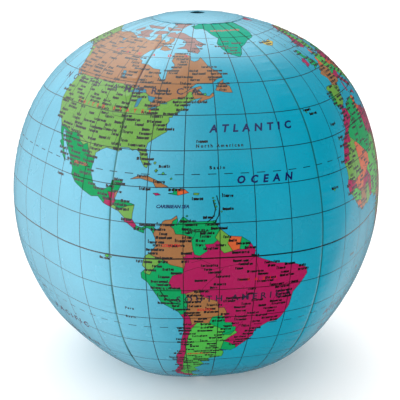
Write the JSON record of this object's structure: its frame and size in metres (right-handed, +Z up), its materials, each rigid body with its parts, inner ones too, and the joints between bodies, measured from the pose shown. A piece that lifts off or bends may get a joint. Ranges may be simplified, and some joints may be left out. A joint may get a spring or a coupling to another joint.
{
  "type": "inflatable globe ball",
  "caption": "Inflatable vinyl globe ball of welded gores with pole caps, a flat foot and a push-in inflation valve in the crown.",
  "frame": {"origin": "centre of the flat foot on the floor, on the ball's polar axis", "axes": "+Z up the polar axis to the north pole and the valve, -Y from the axis through the printed meridian 60 degrees west, +X through 30 degrees east"},
  "size_m": [0.3, 0.3, 0.2907],
  "materials": {
    "printed_vinyl": "glossy printed PVC film",
    "cap_vinyl": "glossy plain PVC film",
    "valve_vinyl": "soft moulded PVC"
  },
  "bodies": {
    "ball": {"panel_south_america": "printed_vinyl", "panel_africa": "printed_vinyl", "panel_india": "printed_vinyl", "panel_east_asia": "printed_vinyl", "panel_pacific": "printed_vinyl", "panel_north_america": "printed_vinyl", "north_cap": "cap_vinyl", "south_cap": "cap_vinyl", "valve_socket": "valve_vinyl"},
    "stem": {"valve_stem": "valve_vinyl", "plug_tether": "valve_vinyl"},
    "plug": {"valve_plug": "valve_vinyl"},
    "flap": {"check_flap": "valve_vinyl"}
  },
  "joints": [
    {"name": "stem_pop_up", "type": "slide", "parent": "ball", "child": "stem", "axis": [0, 0, 1], "range_m": [0, 0.008]},
    {"name": "plug_pull_out", "type": "slide", "parent": "stem", "child": "plug", "axis": [0, 0, 1], "range_m": [0, 0.0075]},
    {"name": "check_flap_swing", "type": "hinge", "parent": "stem", "child": "flap", "pos_m": [0, -0.0052, 0.26842], "axis": [-1, 0, 0], "range_deg": [0, 60], "stiffness_Nm_per_rad": 0.00002, "springref_deg": -22.92}
  ]
}
